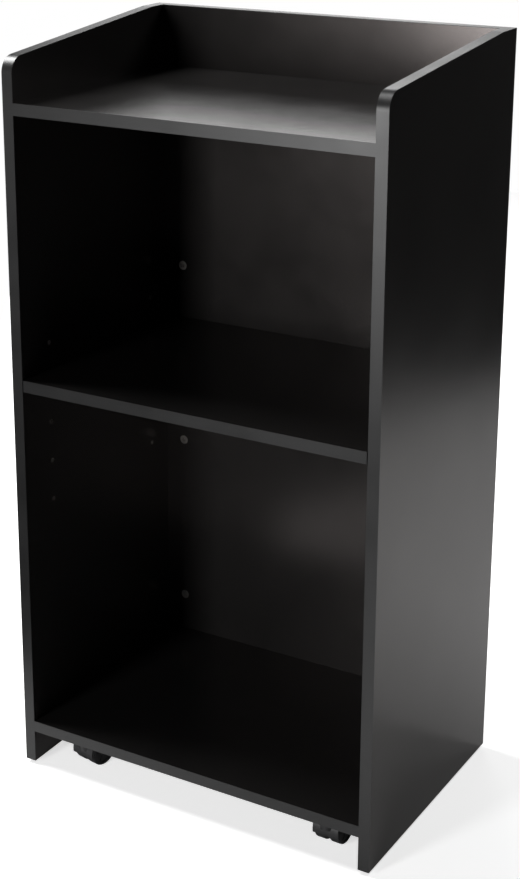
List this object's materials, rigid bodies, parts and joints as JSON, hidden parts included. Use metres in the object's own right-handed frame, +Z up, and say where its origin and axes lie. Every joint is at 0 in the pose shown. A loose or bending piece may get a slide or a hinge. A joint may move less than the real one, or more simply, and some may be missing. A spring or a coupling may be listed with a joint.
{
  "type": "presentation lectern",
  "caption": "Tall open-backed floor lectern of black laminated board with a level reading top, sloping raised sides, an adjustable shelf and swivel casters.",
  "frame": {"origin": "on the floor, under the middle of the body", "axes": "+Z up, +X to the right seen from the open side where the speaker stands, +Y towards the audience"},
  "size_m": [0.61, 0.42, 1.166],
  "materials": {
    "laminate": "black melamine laminate on particle board, satin with a fine grain",
    "edge_band": "satin black plastic edge band",
    "cam_lock": "die-cast zinc, dull",
    "steel": "zinc-plated steel",
    "nickel": "nickel-plated steel",
    "plate_steel": "black painted pressed steel",
    "beech": "plain beech",
    "caster_nylon": "moulded black nylon",
    "wheel_nylon": "moulded black nylon"
  },
  "bodies": {
    "lectern": {"audience_left_caster_kingpin": "steel", "audience_left_caster_mounting_plate": "plate_steel", "audience_panel": "laminate", "audience_panel_bottom_edge_band": "edge_band", "audience_panel_cam_bolts": "steel", "audience_panel_cam_locks": "cam_lock", "audience_panel_dowels": "beech", "audience_panel_top_edge_band": "edge_band", "audience_right_caster_kingpin": "steel", "audience_right_caster_mounting_plate": "plate_steel", "bottom_panel": "laminate", "bottom_panel_cam_bolts": "steel", "bottom_panel_cam_locks": "cam_lock", "bottom_panel_dowels": "beech", "bottom_panel_edge_band": "edge_band", "caster_screws": "steel", "left_side_bottom_edge_band": "edge_band", "left_side_edge_band": "edge_band", "left_side_panel": "laminate", "left_side_rear_edge_band": "edge_band", "reading_top": "laminate", "reading_top_cam_bolts": "steel", "reading_top_cam_locks": "cam_lock", "reading_top_dowels": "beech", "reading_top_edge_band": "edge_band", "right_side_bottom_edge_band": "edge_band", "right_side_edge_band": "edge_band", "right_side_panel": "laminate", "right_side_rear_edge_band": "edge_band", "shelf_hole_sleeves": "nickel", "shelf_pins": "nickel", "speaker_left_caster_kingpin": "steel", "speaker_left_caster_mounting_plate": "plate_steel", "speaker_right_caster_kingpin": "steel", "speaker_right_caster_mounting_plate": "plate_steel"},
    "shelf": {"adjustable_shelf": "laminate", "adjustable_shelf_edge_band": "edge_band"},
    "speaker_left_caster": {"speaker_left_caster_housing": "caster_nylon", "speaker_left_caster_axle": "steel"},
    "speaker_left_left_wheel": {"speaker_left_caster_left_wheel": "wheel_nylon"},
    "speaker_left_right_wheel": {"speaker_left_caster_right_wheel": "wheel_nylon"},
    "speaker_right_caster": {"speaker_right_caster_housing": "caster_nylon", "speaker_right_caster_axle": "steel"},
    "speaker_right_left_wheel": {"speaker_right_caster_left_wheel": "wheel_nylon"},
    "speaker_right_right_wheel": {"speaker_right_caster_right_wheel": "wheel_nylon"},
    "audience_left_caster": {"audience_left_caster_housing": "caster_nylon", "audience_left_caster_axle": "steel"},
    "audience_left_left_wheel": {"audience_left_caster_left_wheel": "wheel_nylon"},
    "audience_left_right_wheel": {"audience_left_caster_right_wheel": "wheel_nylon"},
    "audience_right_caster": {"audience_right_caster_housing": "caster_nylon", "audience_right_caster_axle": "steel"},
    "audience_right_left_wheel": {"audience_right_caster_left_wheel": "wheel_nylon"},
    "audience_right_right_wheel": {"audience_right_caster_right_wheel": "wheel_nylon"}
  },
  "joints": [
    {"name": "shelf_slide", "type": "slide", "parent": "lectern", "child": "shelf", "axis": [0, -1, 0], "range_m": [0, 0.4]},
    {"name": "speaker_left_swivel", "type": "hinge", "parent": "lectern", "child": "speaker_left_caster", "pos_m": [-0.217, -0.17, 0.05], "axis": [0, 0, 1], "continuous": true},
    {"name": "speaker_left_left_wheel_spin", "type": "hinge", "parent": "speaker_left_caster", "child": "speaker_left_left_wheel", "pos_m": [-0.2128, -0.1484, 0.025], "axis": [-0.9816, 0.1908, 0], "continuous": true},
    {"name": "speaker_left_right_wheel_spin", "type": "hinge", "parent": "speaker_left_caster", "child": "speaker_left_right_wheel", "pos_m": [-0.2128, -0.1484, 0.025], "axis": [-0.9816, 0.1908, 0], "continuous": true},
    {"name": "speaker_right_swivel", "type": "hinge", "parent": "lectern", "child": "speaker_right_caster", "pos_m": [0.217, -0.17, 0.05], "axis": [0, 0, 1], "continuous": true},
    {"name": "speaker_right_left_wheel_spin", "type": "hinge", "parent": "speaker_right_caster", "child": "speaker_right_left_wheel", "pos_m": [0.21777, -0.14801, 0.025], "axis": [-0.9994, 0.0349, 0], "continuous": true},
    {"name": "speaker_right_right_wheel_spin", "type": "hinge", "parent": "speaker_right_caster", "child": "speaker_right_right_wheel", "pos_m": [0.21777, -0.14801, 0.025], "axis": [-0.9994, 0.0349, 0], "continuous": true},
    {"name": "audience_left_swivel", "type": "hinge", "parent": "lectern", "child": "audience_left_caster", "pos_m": [-0.217, 0.134, 0.05], "axis": [0, 0, 1], "continuous": true},
    {"name": "audience_left_left_wheel_spin", "type": "hinge", "parent": "audience_left_caster", "child": "audience_left_left_wheel", "pos_m": [-0.22006, 0.15579, 0.025], "axis": [-0.9903, -0.1392, 0], "continuous": true},
    {"name": "audience_left_right_wheel_spin", "type": "hinge", "parent": "audience_left_caster", "child": "audience_left_right_wheel", "pos_m": [-0.22006, 0.15579, 0.025], "axis": [-0.9903, -0.1392, 0], "continuous": true},
    {"name": "audience_right_swivel", "type": "hinge", "parent": "lectern", "child": "audience_right_caster", "pos_m": [0.217, 0.134, 0.05], "axis": [0, 0, 1], "continuous": true},
    {"name": "audience_right_left_wheel_spin", "type": "hinge", "parent": "audience_right_caster", "child": "audience_right_left_wheel", "pos_m": [0.22232, 0.15535, 0.025], "axis": [-0.9703, 0.2419, 0], "continuous": true},
    {"name": "audience_right_right_wheel_spin", "type": "hinge", "parent": "audience_right_caster", "child": "audience_right_right_wheel", "pos_m": [0.22232, 0.15535, 0.025], "axis": [-0.9703, 0.2419, 0], "continuous": true}
  ]
}
